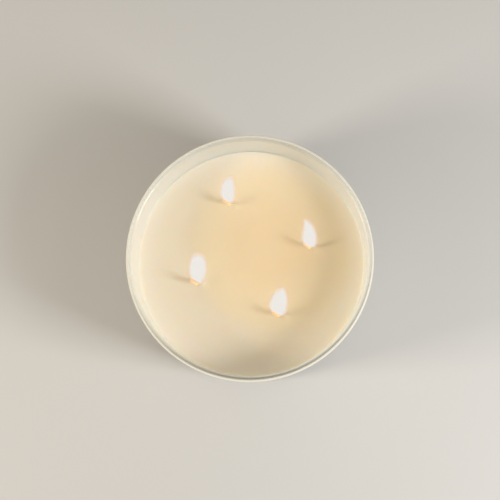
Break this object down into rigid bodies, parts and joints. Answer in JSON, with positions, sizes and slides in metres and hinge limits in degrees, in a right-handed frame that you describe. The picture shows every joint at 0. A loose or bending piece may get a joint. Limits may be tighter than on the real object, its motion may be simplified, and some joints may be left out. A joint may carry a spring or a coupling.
{
  "type": "soy candle",
  "caption": "Round frosted glass tumbler of cream soy wax with a melted pool on top and curled cotton wicks on metal tabs.",
  "frame": {"origin": "centre of the glass foot, on the surface that the candle stands on", "axes": "+Z up along the turning axis of the glass; +X to the right and +Y up in the picture"},
  "size_m": [0.152, 0.152, 0.102],
  "materials": {
    "frosted_glass": "satin",
    "soy_wax": "satin",
    "melted_wax": "gloss",
    "cotton_wick": "matte",
    "tinned_steel": "satin",
    "adhesive_foam": "matte",
    "label_paper": "matte"
  },
  "bodies": {
    "root": {"glass_vessel": "frosted_glass", "wax_fill": "soy_wax", "melt_pool": "melted_wax", "wick_1": "cotton_wick", "wick_2": "cotton_wick", "wick_3": "cotton_wick", "wick_4": "cotton_wick", "wick_sustainer_1": "tinned_steel", "wick_sustainer_2": "tinned_steel", "wick_sustainer_3": "tinned_steel", "wick_sustainer_4": "tinned_steel", "wick_sticker_1": "adhesive_foam", "wick_sticker_2": "adhesive_foam", "wick_sticker_3": "adhesive_foam", "wick_sticker_4": "adhesive_foam", "base_label": "label_paper"}
  },
  "joints": []
}
